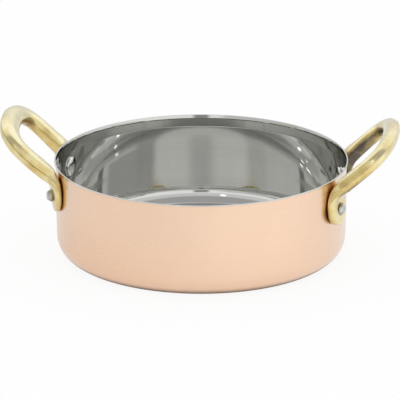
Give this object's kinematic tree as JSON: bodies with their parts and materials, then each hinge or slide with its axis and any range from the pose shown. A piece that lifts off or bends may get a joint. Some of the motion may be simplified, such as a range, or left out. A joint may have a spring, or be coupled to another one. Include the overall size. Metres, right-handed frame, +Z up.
{
  "type": "two-handled egg pan",
  "caption": "Small round straight-sided copper egg pan with a steel lining and looped brass side handles riveted to the wall.",
  "frame": {"origin": "centre of the base, on its flat underside", "axes": "+Z up through the pan's axis, X through both handles, handle_right on +X, -Y is the front"},
  "size_m": [0.1648, 0.12, 0.0578],
  "materials": {
    "copper": "polished copper",
    "lining_steel": "polished stainless steel",
    "brass": "polished cast brass",
    "rivet_steel": "satin stainless steel"
  },
  "bodies": {
    "root": {"copper_shell": "copper", "steel_lining": "lining_steel", "handle_left": "brass", "handle_right": "brass", "rivet_left_front": "rivet_steel", "rivet_left_rear": "rivet_steel", "rivet_right_front": "rivet_steel", "rivet_right_rear": "rivet_steel"}
  },
  "joints": []
}
